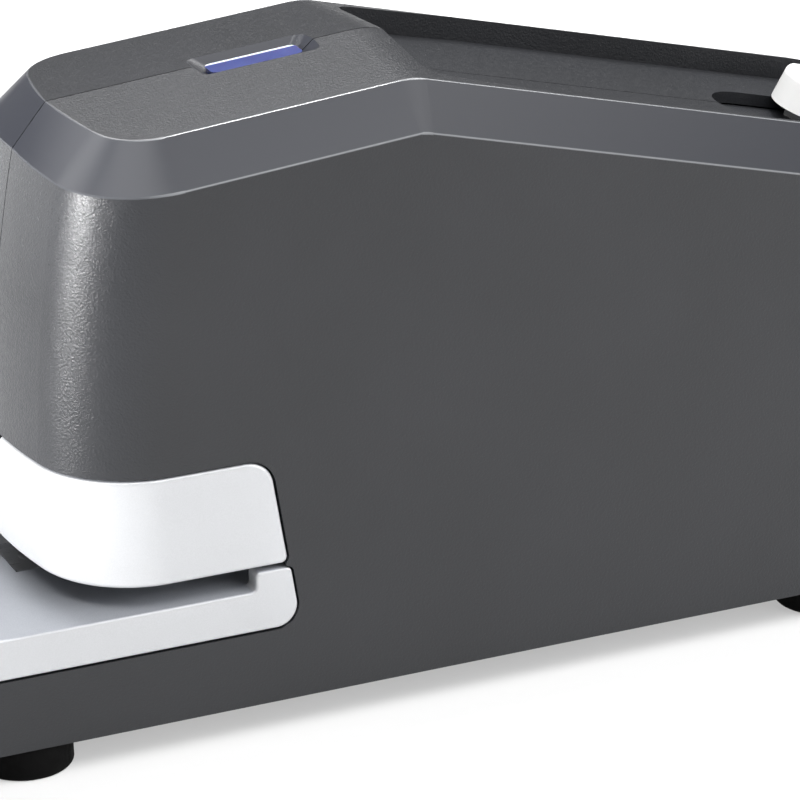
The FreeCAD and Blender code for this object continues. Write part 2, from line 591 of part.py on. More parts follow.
def make_drive():
    cam = Part.Face(cam_profile()).extrude(V(0, 6, 0))
    cam.translate(V(0, 3.5, 0))
    hub = rod_y(CAM_X, CAM_Z, 5.4, -2.0, 3.5)
    cam = cam.fuse(hub).cut(rod_y(CAM_X, CAM_Z, SHAFT_R, -5, 20))
    shaft = rod_y(CAM_X, CAM_Z, SHAFT_R, -21.6, 23.2)
    home = rod_y(CAM_X, CAM_Z, 8.5, -21.2, -18.2).cut(box(CAM_X - 2, CAM_X + 2, -22, -17, CAM_Z + 6, CAM_Z + 10))
    home = home.cut(rod_y(CAM_X, CAM_Z, SHAFT_R, -25, -10))
    to_middle, to_first, to_motor = MIDDLE_DIRECTION, FIRST_DIRECTION, MOTOR_DIRECTION
    middle, first, motor = (MIDDLE_X, MIDDLE_Z), (FIRST_X, FIRST_Z), (MOTOR_X, MOTOR_Z)
    between = (LAYER_1[1], LAYER_2[0])
    cam_gear = gear(CAM_WHEEL, CAM_WHEEL[2], (CAM_X, CAM_Z), to_middle, LAYER_1, SHAFT_R)
    for turn in range(0, 360, 60):
        x, z = polar(CAM_X, CAM_Z, 13.5, turn + 20)
        cam_gear = cam_gear.cut(rod_y(x, z, 3.6, 0, 40))
    bore = STUD_R + FIT
    middle_pinion = gear(CAM_WHEEL, CAM_WHEEL[1], middle, to_middle + 180 + 180 / CAM_WHEEL[1], LAYER_1, bore)
    middle_wheel = gear(MIDDLE_WHEEL, MIDDLE_WHEEL[2], middle, to_first, LAYER_2, bore)
    first_pinion = gear(
        MIDDLE_WHEEL, MIDDLE_WHEEL[1], first, to_first + 180 + 180 / MIDDLE_WHEEL[1], LAYER_2, bore)
    first_wheel = gear(MOTOR_WHEEL, MOTOR_WHEEL[2], first, to_motor, LAYER_1, bore)
    motor_pinion = gear(
        MOTOR_WHEEL, MOTOR_WHEEL[1], motor, to_motor + 180 + 180 / MOTOR_WHEEL[1], LAYER_1, 1.5)
    compounds = {}
    for name, place, wheels, collar in (
            ("middle_gear", middle, (middle_pinion, middle_wheel), 5.5),
            ("first_gear", first, (first_pinion, first_wheel), 4.5)):
        ring = tube_y(place[0], place[1], collar, bore, *between)
        compounds[name] = fused([wheels[0], wheels[1], ring])
    return {
        "drive_cam": cam, "cam_shaft": shaft, "home_disc": home, "cam_gear": cam_gear,
        **compounds, "motor_pinion": motor_pinion}


def make_motor():
    x, z = MOTOR_X, MOTOR_Z
    front, rear = PLATE_IN, -24.0
    can = rod_y(x, z, 15, rear + 4, front).cut(rod_y(x, z, 14, rear, front - 1.4))
    can = can.fuse(rod_y(x, z, 4.0, front, front + 1.2)).cut(rod_y(x, z, 2.2, 0, 30)).removeSplitter()
    cap = rod_y(x, z, 15, rear, rear + 4).fuse(rod_y(x, z, 13.9, rear + 4, rear + 6))
    cap = cap.fuse(rod_y(x, z, 4, rear - 1.6, rear)).cut(rod_y(x, z, 1.5 + FIT, rear - 3, rear + 9))
    magnets = []
    for s in (-1, 1):
        ring = tube_y(x, z, 13.9, 11.6, -15, 8)
        keep = box(x - 20, x + 20, -20, 20, z + 5, z + 20) if s > 0 else box(x - 20, x + 20, -20, 20, z - 20, z - 5)
        magnets.append(ring.common(keep))
    core = rod_y(x, z, 10.9, -13, 6)
    for turn in range(0, 360, 120):
        cx, cz = polar(x, z, 9.4, turn)
        core = core.cut(rod_y(cx, cz, 2.4, -20, 20))
    armature = core.fuse(rod_y(x, z, 4.0, -17, -13)).cut(rod_y(x, z, 1.5, -30, 30))
    shaft = rod_y(x, z, 1.5, -25.2, 22.4)
    tabs = [box(x - 9.4 + 16 * i, x - 6.8 + 16 * i, rear - 4, rear, z - 0.3, z + 0.3) for i in range(2)]
    return {
        "motor_can": can, "motor_end_cap": cap.removeSplitter(), "motor_magnets": magnets,
        "motor_armature": armature, "motor_shaft": shaft, "motor_terminals": tabs}


def make_lever():
    """Bell crank: a long arm to the driver, a short arm to the roller on the cam."""
    hub = (PIVOT_X, PIVOT_Z)
    roller_arm = plate_y(
        [(PIVOT_X - 5.5, PIVOT_Z - 2), (PIVOT_X + 6, PIVOT_Z - 3.4), (ROLLER_X + 3.4, ROLLER_Z - 1.0),
         (ROLLER_X - 3.4, ROLLER_Z + 1.6)], -3, 3)
    nose_arm = plate_y(
        [(PIVOT_X, PIVOT_Z - 6.5), (PIVOT_X + 2, PIVOT_Z + 6.8), (-40, TIP_Z + 2.2, 20), (TIP_X, TIP_Z + 2.1),
         (TIP_X, TIP_Z - 2.1), (-40, TIP_Z - 9.0, 20)], -3, 3)
    rounds = [rod_y(*hub, 7.0, -5, 5), rod_y(TIP_X, TIP_Z, 2.9, -3, 3), rod_y(ROLLER_X, ROLLER_Z, 4.0, -3, 3)]
    lever = fused([nose_arm, roller_arm] + rounds)
    lever = lever.cut(rod_y(*hub, 2.5 + FIT, -10, 10)).cut(rod_y(ROLLER_X, ROLLER_Z, 2.0, -10, 10))
    lever = lever.cut(box(PIVOT_X + 2, PIVOT_X + 9, 3, 6, PIVOT_Z + 3, PIVOT_Z + 9))
    collars = [tube_y(*hub, 4.5, 2.5, 5.4, PLATE_IN), tube_y(*hub, 4.5, 2.5, -PLATE_IN, -5.4)]
    pin = rod_y(ROLLER_X, ROLLER_Z, 2.0, -3.6, 10.4).fuse(rod_y(ROLLER_X, ROLLER_Z, 3.0, 9.9, 10.6))
    roller = tube_y(ROLLER_X, ROLLER_Z, ROLLER_R, 2.0 + FIT, 3.4, 9.6)
    spring = coil(V(-48, 0, 73.0), V(0, 0, 1), 10.0, 2.6, 0.7, 6)
    return {
        "drive_lever": lever, "lever_collars": collars, "roller_pin": pin, "cam_roller": roller,
        "lever_spring": spring}


def make_driver():
    back = BLADE_X + BLADE_THICK
    holder = plate_z(
        [(back, -7.6), (-75.2, -13.6), (-69.5, -13.6, 0.6), (-69.5, 13.6, 0.6), (-75.2, 13.6), (back, 7.6)], 62.5, 78)
    holder = holder.cut(box(-75.7, -60, -3.4, 3.4, TIP_Z - 3.3, TIP_Z + 3.3))
    for s in (-1, 1):
        holder = holder.cut(rod_z(-73, s * 8.6, 2.2, 60, 80))
    blade = box(BLADE_X, back, -6.2, 6.2, BLADE_LOW, 76)
    return {"driver_holder": holder, "driver_blade": blade}


# ---------------------------------------------------------------- magazine drawer
def make_cover(full_outer, full_inside):
    skin = full_outer.common(plate_y(cover_outline(0), -45, 45))
    skin = skin.makeFillet(COVER_EDGE_R, level_edges(skin, COVER_TOP))
    hollow = full_inside.common(box(-110, -30, -45, 45, SLOT_TOP + COVER_FLOOR, 60))
    cover = skin.cut(hollow).cut(notch(0.0))
    cover = cover.cut(box(-79.0, -74.6, -7.2, 7.2, 25, TRACK_FLOOR + 1))
    return {"nose_cover": cover.removeSplitter()}


def make_magazine():
    half, floor, top = TRACK_HALF, TRACK_FLOOR, TRACK_TOP
    sheet = 0.8
    channel = box(TRACK_FRONT, TRACK_REAR, -half, half, floor, top).cut(
        box(TRACK_FRONT - 1, TRACK_REAR - sheet, -half + sheet, half - sheet, floor + sheet, top + 1))
    tab = box(2.0, TRACK_REAR, -12.0, -half + 0.1, 43, 44.6)
    channel = channel.fuse(tab).cut(rod_x(0, 41.4, 1.0, 0, 20)).removeSplitter()
    core_top = 45.3
    rail = box(TRACK_FRONT, TRACK_REAR - sheet, -5.6, 5.6, floor + sheet, core_top)
    rail = rail.cut(box(-44, TRACK_REAR + 1, -3.2, 3.2, 38.2, 50))
    rod = rod_x(0, 41.4, 1.0, -44, TRACK_REAR + 0.8)
    crown, leg = 46.0, 40.0
    strip = box(TRACK_FRONT + 0.1, STRIP_REAR, -6.3, 6.3, leg, crown).cut(
        box(TRACK_FRONT - 1, STRIP_REAR + 1, -5.8, 5.8, leg - 1, crown - 0.5))
    front_plate = box(-79.6, -78.8, -6.9, 6.9, floor, 46.8)
    lugs = [box(-79.6, -77.0, s * 6.9 if s > 0 else -half, half if s > 0 else -6.9, floor, top) for s in (-1, 1)]
    front_plate = fused([front_plate] + lugs)
    start = STRIP_REAR + 0.3
    end = start + PUSHER_LENGTH
    pusher = box(start, end, -6.3, 6.3, 39.6, 46.2).cut(box(start - 1, end + 1, -5.9, 5.9, 30, 45.6))
    foot = box(start, end, -2.8, 2.8, 38.6, 45.7).cut(rod_x(0, 41.4, 1.0 + FIT, start - 1, end + 1))
    pusher = pusher.fuse(foot).removeSplitter()
    spring = coil(V(end + 0.4, 0, 41.4), V(1, 0, 0), TRACK_REAR - 0.8 - end - 0.8, 1.9, 0.5, 16)
    return {
        "magazine_channel": channel, "magazine_rail": rail, "magazine_front": front_plate,
        "staple_strip": strip, "pusher_rod": rod, "pusher": pusher, "pusher_spring": spring}


# ---------------------------------------------------------------- release and trigger
def make_release():
    low, top = -TROUGH_DEPTH + 0.3, 0.4
    bow_x = BUTTON_START + BUTTON_BOW
    bow = Part.makeCone(BUTTON_BOW, BUTTON_BOW - BUTTON_LEAN, top - low, V(bow_x, 0, low), V(0, 0, 1))
    cap = box(BUTTON_START, BUTTON_END, -BUTTON_HALF, BUTTON_HALF, low, top).common(bow)
    cap = cap.makeFillet(2.0, [e for e in cap.Edges if e.BoundBox.ZLength > 5])
    cap = cap.makeFillet(1.6, [e for e in cap.Edges if e.BoundBox.ZMin > top - 0.1])
    under = -TROUGH_DEPTH - WALL
    stem = block(92, 103, -8, 8, under - 0.3, low, 2)
    button = on_rear_roof(cap.fuse(stem).removeSplitter())
    slide = box(67, 107, -11.5, 11.5, under - 1.7, under - 0.3)
    bar = box(46, 80, -11.5, -8.5, under - 5.2, under - 1.7)
    slide = on_rear_roof(slide.fuse(bar).removeSplitter())
    spring = on_rear_roof(coil(V(83, 5, under - 3.2), V(1, 0, 0), 12, 1.2, 0.4, 10))
    hook = on_rear_roof(box(81.5, 82.6, 3, 7, under - 4.9, under - 1.7))
    return {"release_button": button, "release_slide": slide.fuse(hook), "release_spring": spring}


def make_latch():
    """Bell crank that holds the drawer's tab until the release bar tips it."""
    outline = [
        (29.0, 88.5, 1.0), (33.0, 88.5, 1.0), (37.5, 52, 4), (32, 46, 4), (10, 39.2, 3), (-1.4, 39.2, 0.6),
        (-1.4, 44.2, 0.4), (1.6, 44.2, 0.4), (1.6, 41.6, 0.6), (9, 41.6, 3), (29, 51, 3)]
    latch = plate_y(outline, -11.5, -8.5).fuse(rod_y(LATCH_X, LATCH_Z, 5.5, -11.5, -8.5))
    return {"latch": latch.cut(rod_y(LATCH_X, LATCH_Z, 1.5 + FIT, -20, 0)).removeSplitter()}


def make_trigger():
    """Lever that the edge of the paper pushes back to start a stroke, and its switch."""
    arm = plate_y([(-52.6, 30.6, 0.8), (-50.8, 30.6, 0.8), (-46.6, 17, 1), (-50.0, 17, 1)], -1.8, 1.8)
    x, z, low = TRIGGER_X, TRIGGER_Z, BOTTOM + 2.4
    arm = fused([arm, rod_y(x, z, 3.0, -1.8, 1.8), box(x, x + 8, -1.8, 1.8, z - 1.6, z + 0.4)])
    arm = arm.cut(rod_y(x, z, 1.2 + FIT, -10, 10))
    cheek = [(x - 3, low), (x + 3, low), (x + 3, z + 3, 2.9), (x - 3, z + 3, 2.9)]
    bracket = [plate_y(cheek, y, y + 2.4).cut(rod_y(x, z, 1.2, -10, 10)) for y in (-5, 2.6)]
    switch = box(x + 5, x + 17, -3, 3, low, low + 4.5).fuse(box(x + 7.2, x + 9.2, -1, 1, low + 4.5, low + 5))
    return {"paper_trigger": arm, "trigger_bracket": bracket, "paper_switch": switch.removeSplitter()}


# ---------------------------------------------------------------- electrics
def make_electrics():
    board = box(-4, 56, -29.8, -28.2, 26, 68)
    posts = []
    for x, z in ((0, 30), (52, 30), (0, 64), (52, 64)):
        posts.append(rod_y(x, z, 2.2, -28.2, -PLATE_OUT))
    parts = [
        rod_y(12, 44, 5, -28.2, -17.5), rod_y(26, 40, 4, -28.2, -19),
        box(34, 46, -28.2, -19.5, 34, 48), box(8, 22, -28.2, -24.5, 56, 63), box(30, 44, -28.2, -26, 54, 60)]
    jack = box(90, 99.6, -23, -13, 14, 23.6).fuse(rod_x(-18, 18.6, 4.2, 99.6, 102.0)).cut(
        rod_x(-18, 18.6, 2.8, 92, 104)).removeSplitter()
    inlet = [jack, rod_x(-18, 18.6, 1.0, 92, 101.0)]
    home = box(4, 24, -22.4, -16.2, 83.4, 90).fuse(box(12, 14.6, -20.6, -18.6, 82.3, 83.4))
    home_post = box(5, 23, -16.2, -PLATE_OUT, 84, 89.4)
    a, b = LAMP_LENGTH / 2 - 2.9, LAMP_WIDTH / 2 - 2.4
    lens = block(-a, a, -b, b, -5.2, -LAMP_DEPTH + 0.9, 1.2)
    lens = lens.fuse(box(-a - 2, a + 2, -b - 1.6, b + 1.6, -5.8, -4.0))
    lens = on_front_roof(lens.removeSplitter())
    lamp_board = [on_front_roof(box(-a - 2, a + 2, -5.5, 5.5, -8.6, -7.4))]
    lamp_board += [on_front_roof(box(x - 1.6, x + 1.6, -1.4, 1.4, -7.4, -6.1)) for x in (-5, 0, 5)]
    return {
        "circuit_board": board, "board_posts": posts, "board_components": parts, "power_inlet": inlet,
        "home_switch": fused([home, home_post]), "lamp_window": lens, "lamp_board": lamp_board}


# ---------------------------------------------------------------- whole stapler
def make_all():
    nodes = {}
    nodes.update(make_shells(shell_half()))
    full_outer, full_inside = both_halves(envelope(0.0)), both_halves(envelope(WALL))
    nodes["shell_screws"] = make_shell_screws()
    nodes.update(make_base(both_halves(envelope(WALL + 0.3))))
    nodes.update(make_feet())
    nodes.update(make_deck(full_outer, full_inside))
    nodes.update(make_cover(full_outer, full_inside))
    for maker in (
            make_frame, make_magazine_guides, make_drive, make_motor, make_lever, make_driver, make_magazine,
            make_release, make_latch, make_trigger, make_electrics):
        nodes.update(maker())
    return nodes


def main():
    os.makedirs("parts", exist_ok=True)
    for name, shape in make_all().items():
        if isinstance(shape, list):
            shape = Part.makeCompound(shape)
        if not shape.isValid() or not shape.Solids or len(shape.Shells) != len(shape.Solids):
            print("check", name, shape.isValid(), len(shape.Solids), len(shape.Shells))
        shape.exportStep(f"parts/{name}.step")


main()
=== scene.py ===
"""Looks of the electric stapler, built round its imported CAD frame. Lengths are in metres."""

import json
import math

import bpy
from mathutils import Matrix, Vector


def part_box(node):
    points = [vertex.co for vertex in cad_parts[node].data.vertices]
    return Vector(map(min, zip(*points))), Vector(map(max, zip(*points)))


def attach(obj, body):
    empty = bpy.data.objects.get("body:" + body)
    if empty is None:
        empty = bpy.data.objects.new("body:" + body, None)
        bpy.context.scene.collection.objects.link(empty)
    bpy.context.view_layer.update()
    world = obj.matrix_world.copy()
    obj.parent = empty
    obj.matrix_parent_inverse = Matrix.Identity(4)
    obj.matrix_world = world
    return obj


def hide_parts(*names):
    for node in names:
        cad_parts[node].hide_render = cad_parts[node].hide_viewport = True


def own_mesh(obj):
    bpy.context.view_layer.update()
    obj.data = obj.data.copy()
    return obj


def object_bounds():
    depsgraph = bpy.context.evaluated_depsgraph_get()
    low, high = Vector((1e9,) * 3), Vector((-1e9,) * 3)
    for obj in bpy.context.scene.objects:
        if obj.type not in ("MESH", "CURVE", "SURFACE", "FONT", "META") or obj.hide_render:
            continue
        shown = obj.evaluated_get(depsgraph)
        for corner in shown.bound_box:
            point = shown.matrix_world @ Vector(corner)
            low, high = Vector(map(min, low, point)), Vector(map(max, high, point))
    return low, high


# ---- camera ----
CAMERA_AZIMUTH, CAMERA_ELEVATION = -24.46, 22.85
CAMERA_DISTANCE = 0.7503
CAMERA_AIM = Vector((-0.01816, -0.0300, 0.05678))
CAMERA_LENS = 194.35

# ---- finishes ----
OWN_PAINT = {"release_button": "white_plastic"}    # nodes that don't wear their slot's material

# Upward share of the surface normal where each zone of the casing fades in and then out.
BEVEL_ZONE = (0.25, 0.4, 0.8, 0.93)
OUTER_EDGE_ZONE = (0.12, 0.3, 0.52, 0.64)
INNER_EDGE_ZONE = (0.77, 0.83, 0.92, 0.96)
NOSE_TURN = (-0.38, -0.1)    # X share of the normal between which the painted edge highlight fades round the nose

WINDOW_FLANGE = 0.0016     # the lamp window's hidden flange, outside its visible edge
WINDOW_HIGHLIGHT_BAND = 0.0008        # width of the painted highlight along the far side of the window

# ---- studio ----
FLOOR_SIZE = 12.0
FLOOR_WHITE = 0.5
FLOOR_FAR_GLOW = 0.42      # evens out the floor where the lights no longer reach
SKY = 0.12
BACKDROP_GLOW = 0.9


# ---------------------------------------------------------------- shader helpers
class Paint:
    """One Principled material and the nodes that feed it, in object coordinates."""

    def __init__(self, name, colour, roughness, metallic=0.0, **sockets):
        self.name = name
        self.material = bpy.data.materials.new(name)
        self.material.use_nodes = True
        self.nodes = self.material.node_tree.nodes
        self.links = self.material.node_tree.links
        self.shader = self.nodes["Principled BSDF"]
        self.place = self.add("ShaderNodeTexCoord").outputs["Object"]
        self.shader.inputs["Base Color"].default_value = (*colour, 1)
        self.shader.inputs["Roughness"].default_value = roughness
        self.shader.inputs["Metallic"].default_value = metallic
        self.material.diffuse_color = (*colour, 1)
        for socket, value in sockets.items():
            self.shader.inputs[socket.replace("_", " ")].default_value = value
        self.colour = colour
        self.bumps = []

    def add(self, kind, **settings):
        node = self.nodes.new(kind)
        for key, value in settings.items():
            setattr(node, key, value)
        return node

    def stretched(self, x, y, z):
        """Object coordinates scaled along each axis, for brushed or layered patterns."""
        mapping = self.add("ShaderNodeMapping")
        mapping.inputs["Scale"].default_value = (x, y, z)
        self.links.new(self.place, mapping.inputs["Vector"])
        return mapping.outputs["Vector"]

    def noise(self, size, detail=2.0, roughness=0.5, place=None):
        """Noise whose blobs are about size metres across."""
        node = self.add("ShaderNodeTexNoise")
        node.inputs["Scale"].default_value = 1.0 / size
        node.inputs["Detail"].default_value = detail
        node.inputs["Roughness"].default_value = roughness
        self.links.new(place or self.place, node.inputs["Vector"])
        return node.outputs["Fac"]

    def cells(self, size, place=None):
        node = self.add("ShaderNodeTexVoronoi")
        node.inputs["Scale"].default_value = 1.0 / size
        self.links.new(place or self.place, node.inputs["Vector"])
        return node.outputs["Distance"]

    def ranged(self, value, low, high, start=0.3, end=0.7):
        node = self.add("ShaderNodeMapRange")
        node.inputs["From Min"].default_value = start
        node.inputs["From Max"].default_value = end
        node.inputs["To Min"].default_value = low
        node.inputs["To Max"].default_value = high
        self.links.new(value, node.inputs["Value"])
        return node.outputs["Result"]

    def math(self, operation, a, b=None):
        node = self.add("ShaderNodeMath", operation=operation)
        for socket, value in zip(node.inputs, (a, b)):
            if value is None:
                continue
            if isinstance(value, (int, float)):
                socket.default_value = value
            else:
                self.links.new(value, socket)
        return node.outputs[0]

    def blend(self, share, first, second):
        """Colour between first and second, which are colours or sockets."""
        node = self.add("ShaderNodeMix", data_type="RGBA")
        self.links.new(share, node.inputs[0])
        for socket, value in ((node.inputs[6], first), (node.inputs[7], second)):
            if isinstance(value, bpy.types.NodeSocket):
                self.links.new(value, socket)
            else:
                socket.default_value = (*value, 1)
        return node.outputs[2]

    def set(self, socket, value):
        self.links.new(value, self.shader.inputs[socket])
        return self

    def bump(self, height, depth, strength=1.0):
        """Adds a relief depth metres high under the ones added before."""
        node = self.add("ShaderNodeBump")
        node.inputs["Strength"].default_value = strength
        node.inputs["Distance"].default_value = depth
        self.links.new(height, node.inputs["Height"])
        if self.bumps:
            self.links.new(self.bumps[-1], node.inputs["Normal"])
        self.bumps.append(node.outputs["Normal"])
        self.links.new(node.outputs["Normal"], self.shader.inputs["Normal"])
        return self

    def cloudy(self, spread, size):
        """Base colour drifting by a share of itself over patches of the given size."""
        share = self.ranged(self.noise(size, 3.0), 0.0, 1.0)
        dark = tuple(c * (1 - spread) for c in self.colour)
        light = tuple(min(c * (1 + spread), 1.0) for c in self.colour)
        return self.set("Base Color", self.blend(share, dark, light))


def facing(paint, axis):
    """The surface normal's part along an axis of the object."""
    geometry = paint.add("ShaderNodeNewGeometry")
    split = paint.add("ShaderNodeSeparateXYZ")
    paint.links.new(geometry.outputs["Normal"], split.inputs[0])
    return split.outputs[axis]


def zone(paint, value, limits):
    """1 where value lies well between the limits, fading to 0 outside them."""
    rise_start, rise_end, fall_start, fall_end = limits
    rise = paint.ranged(value, 0, 1, rise_start, rise_end)
    return paint.math("MULTIPLY", rise, paint.ranged(value, 1, 0, fall_start, fall_end))


def away_from(paint, node):
    """0 over a node's surroundings and 1 beyond them."""
    low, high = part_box(node)
    reach = (high - low).x / 2
    gap = paint.add("ShaderNodeVectorMath", operation="DISTANCE")
    gap.inputs[1].default_value = (low + high) / 2
    paint.links.new(paint.place, gap.inputs[0])
    return paint.ranged(gap.outputs["Value"], 0, 1, reach * 1.1, reach * 1.2)


# ---------------------------------------------------------------- materials
def charcoal_plastic():
    """Dark moulded plastic: grained on its faces, smooth on the bevel, polished along the edges. The edges
    also carry a painted highlight, a pale colour that is dimmer where they face the nose, and the bevel is
    painted a little lighter and bluer.
    """
    paint = Paint("charcoal_plastic", (0.020, 0.021, 0.023), 0.38, Specular_IOR_Level=0.38)
    up = facing(paint, 2)
    bevel = zone(paint, up, BEVEL_ZONE)
    both_edges = paint.math("MAXIMUM", zone(paint, up, OUTER_EDGE_ZONE), zone(paint, up, INNER_EDGE_ZONE))
    edge = paint.math("MULTIPLY", both_edges, away_from(paint, "lamp_window"))
    flat = paint.math("SUBTRACT", 1.0, paint.math("MAXIMUM", bevel, edge))
    # Painted highlight: a pale colour along the edges, dimmer where they turn towards the nose.
    painted_edge_highlight = paint.math("MULTIPLY", edge, paint.ranged(facing(paint, 0), 0.3, 1.0, *NOSE_TURN))

    mottle = paint.math("MULTIPLY", paint.ranged(paint.noise(0.0009, 2.0), -0.05, 0.06), flat)
    polish = paint.ranged(edge, 0.33, 0.2, 0, 1)
    paint.set("Roughness", paint.math("ADD", polish, mottle))

    share = paint.ranged(paint.noise(0.03, 3.0), 0.0, 1.0)
    base = paint.blend(share, (0.0205, 0.0215, 0.0242), (0.0236, 0.0246, 0.0280))
    # Painted light: the bevel is coloured a little lighter and bluer than the flat faces.
    bevel_painted_light = paint.blend(bevel, base, (0.023, 0.0245, 0.031))
    # The pale colour here is the painted edge highlight.
    paint.set("Base Color", paint.blend(painted_edge_highlight, bevel_painted_light, (0.19, 0.195, 0.205)))

    paint.bump(paint.math("MULTIPLY", paint.noise(0.00033, 3.0, 0.6), flat), 0.00009, 0.9)
    paint.bump(paint.math("MULTIPLY", paint.cells(0.0005), flat), 0.00006, 0.6)
    return paint


def black_plastic():
    paint = Paint("black_plastic", (0.022, 0.022, 0.024), 0.5)
    paint.cloudy(0.15, 0.01)
    paint.set("Roughness", paint.ranged(paint.noise(0.0015), 0.42, 0.6))
    return paint.bump(paint.noise(0.0006, 3.0), 0.00004, 0.6)


def silver_plastic():
    """Satin silver paint with fine metallic flake; its faces that look up are painted darker and bluer as
    shade.
    """
    paint = Paint("silver_plastic", (0.465, 0.472, 0.486), 0.36, 0.25, Coat_Weight=0.25, Coat_Roughness=0.3)
    flake = paint.ranged(paint.noise(0.0002, 1.0), 0.0, 1.0, 0.35, 0.65)
    drift = paint.ranged(paint.noise(0.02, 2.0), 0.0, 1.0)
    upright = paint.blend(drift, (0.45, 0.456, 0.47), (0.48, 0.488, 0.504))
    # Painted shade: faces that look up are coloured darker and bluer.
    level = paint.ranged(facing(paint, 2), 0.0, 1.0, 0.75, 0.95)
    base = paint.blend(level, upright, (0.34, 0.357, 0.395))
    paint.set("Base Color", paint.blend(paint.math("MULTIPLY", flake, 0.25), base, (0.56, 0.568, 0.585)))
    paint.set("Roughness", paint.ranged(paint.noise(0.0012, 2.0), 0.32, 0.42))
    return paint.bump(paint.noise(0.0003, 2.0), 0.000008, 0.5)


def white_plastic():
    paint = Paint("white_plastic", (0.92, 0.92, 0.91), 0.34)
    paint.cloudy(0.02, 0.01)
    paint.set("Roughness", paint.ranged(paint.noise(0.0012, 2.0), 0.28, 0.4))
    return paint.bump(paint.noise(0.0004, 2.0), 0.000008, 0.5)


def rubber():
    paint = Paint("rubber", (0.004, 0.004, 0.004), 0.85, Specular_IOR_Level=0.05)
    paint.cloudy(0.25, 0.004)
    paint.set("Roughness", paint.ranged(paint.noise(0.001), 0.6, 0.85))
    return paint.bump(paint.noise(0.0008, 4.0), 0.00008, 0.6)


def brushed(name, colour, roughness, along=0, depth=0.000012):
    """Metal with fine lines running along one axis and a faint overall drift."""
    paint = Paint(name, colour, roughness, 1.0)
    scale = [1.0, 1.0, 1.0]
    scale[along] = 0.04
    lines = paint.noise(0.00025, 3.0, place=paint.stretched(*scale))
    paint.cloudy(0.1, 0.008)
    paint.set("Roughness", paint.ranged(lines, roughness - 0.08, roughness + 0.1))
    return paint.bump(lines, depth, 0.6)


def motor_iron():
    """Stacked laminations: thin rings across the Y axis."""
    paint = Paint("motor_iron", (0.12, 0.12, 0.13), 0.45, 0.8)
    wave = paint.add("ShaderNodeTexWave", bands_direction="Y")
    wave.inputs["Scale"].default_value = 320.0
    paint.links.new(paint.place, wave.inputs["Vector"])
    paint.cloudy(0.3, 0.003)
    return paint.bump(wave.outputs["Fac"], 0.00005, 0.8)


def white_nylon():
    paint = Paint("white_nylon", (0.76, 0.74, 0.68), 0.38, Subsurface_Weight=0.12, Subsurface_Scale=0.002)
    paint.cloudy(0.04, 0.006)
    paint.set("Roughness", paint.ranged(paint.noise(0.001), 0.3, 0.46))
    return paint.bump(paint.noise(0.0015, 2.0), 0.00002, 0.4)


def board_green():
    """Solder mask with copper tracks just raised under it."""
    paint = Paint("board_green", (0.02, 0.13, 0.05), 0.3, Coat_Weight=0.5, Coat_Roughness=0.15)
    brick = paint.add("ShaderNodeTexBrick")
    brick.inputs["Scale"].default_value = 260.0
    brick.inputs["Mortar Size"].default_value = 0.08
    turn = paint.add("ShaderNodeMapping")
    turn.inputs["Rotation"].default_value = (math.pi / 2, 0, 0)
    paint.links.new(paint.place, turn.inputs["Vector"])
    paint.links.new(turn.outputs["Vector"], brick.inputs["Vector"])
    paint.set("Base Color", paint.blend(brick.outputs["Fac"], (0.02, 0.12, 0.045), (0.04, 0.2, 0.08)))
    return paint.bump(brick.outputs["Fac"], 0.00003, 0.6)


def component_black():
    paint = Paint("component_black", (0.025, 0.025, 0.028), 0.35)
    paint.cloudy(0.3, 0.004)
    return paint.bump(paint.noise(0.0004, 2.0), 0.00002, 0.5)


def blue_lens():
    """Tinted window with a ribbed back."""
    paint = Paint(
        "blue_lens", (0.07, 0.09, 0.48), 0.16, Coat_Weight=0.6, Coat_Roughness=0.06,
        Subsurface_Weight=0.2, Subsurface_Scale=0.001)
    drift = paint.ranged(paint.noise(0.006, 2.0), 0.0, 1.0)
    tint = paint.blend(drift, (0.052, 0.064, 0.21), (0.07, 0.086, 0.255))
    across = paint.add("ShaderNodeSeparateXYZ")
    paint.links.new(paint.place, across.inputs[0])
    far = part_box("lamp_window")[1].y - WINDOW_FLANGE
    # Painted highlight: a pale band along the window's far side.
    painted_highlight_band = paint.ranged(across.outputs["Y"], 0, 1, far - WINDOW_HIGHLIGHT_BAND, far - WINDOW_HIGHLIGHT_BAND * 0.7)
    paint.set("Base Color", paint.blend(painted_highlight_band, tint, (0.75, 0.78, 0.86)))
    return paint.bump(paint.noise(0.0006, 2.0), 0.00001, 0.4)


def make_materials():
    """One material for each of the record's material slots, and the button's own, by name."""
    paints = [
        charcoal_plastic(), black_plastic(), silver_plastic(), white_plastic(), rubber(), motor_iron(),
        white_nylon(), board_green(), component_black(), blue_lens(),
        brushed("steel", (0.55, 0.55, 0.56), 0.34),
        brushed("spring_steel", (0.45, 0.45, 0.47), 0.3),
        brushed("motor_steel", (0.58, 0.58, 0.6), 0.3, along=1),
        brushed("brass", (0.72, 0.52, 0.2), 0.28, along=1),
        brushed("cam_steel", (0.33, 0.33, 0.35), 0.32),
        brushed("staple_wire", (0.72, 0.72, 0.74), 0.22, along=1)]
    return {paint.name: paint.material for paint in paints}


def dress(frame, materials):
    """Gives each CAD node the material of its slot in the record."""
    for row in frame["record"]["subparts"]:
        mesh = frame["nodes"][row["node"]].data
        mesh.materials.clear()
        mesh.materials.append(materials[OWN_PAINT.get(row["node"], row["material_slot"])])


def make_pusher_spring(frame, materials):
    """The coil behind the pusher: a copy of its CAD mesh in spring steel, carried with the drawer."""
    spring = bpy.data.objects.new("pusher_coil", frame["nodes"]["pusher_spring"].data.copy())
    bpy.context.scene.collection.objects.link(spring)
    spring.data.materials.clear()
    spring.data.materials.append(materials["spring_steel"])
    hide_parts("pusher_spring")
    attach(spring, "drawer")
    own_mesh(spring)


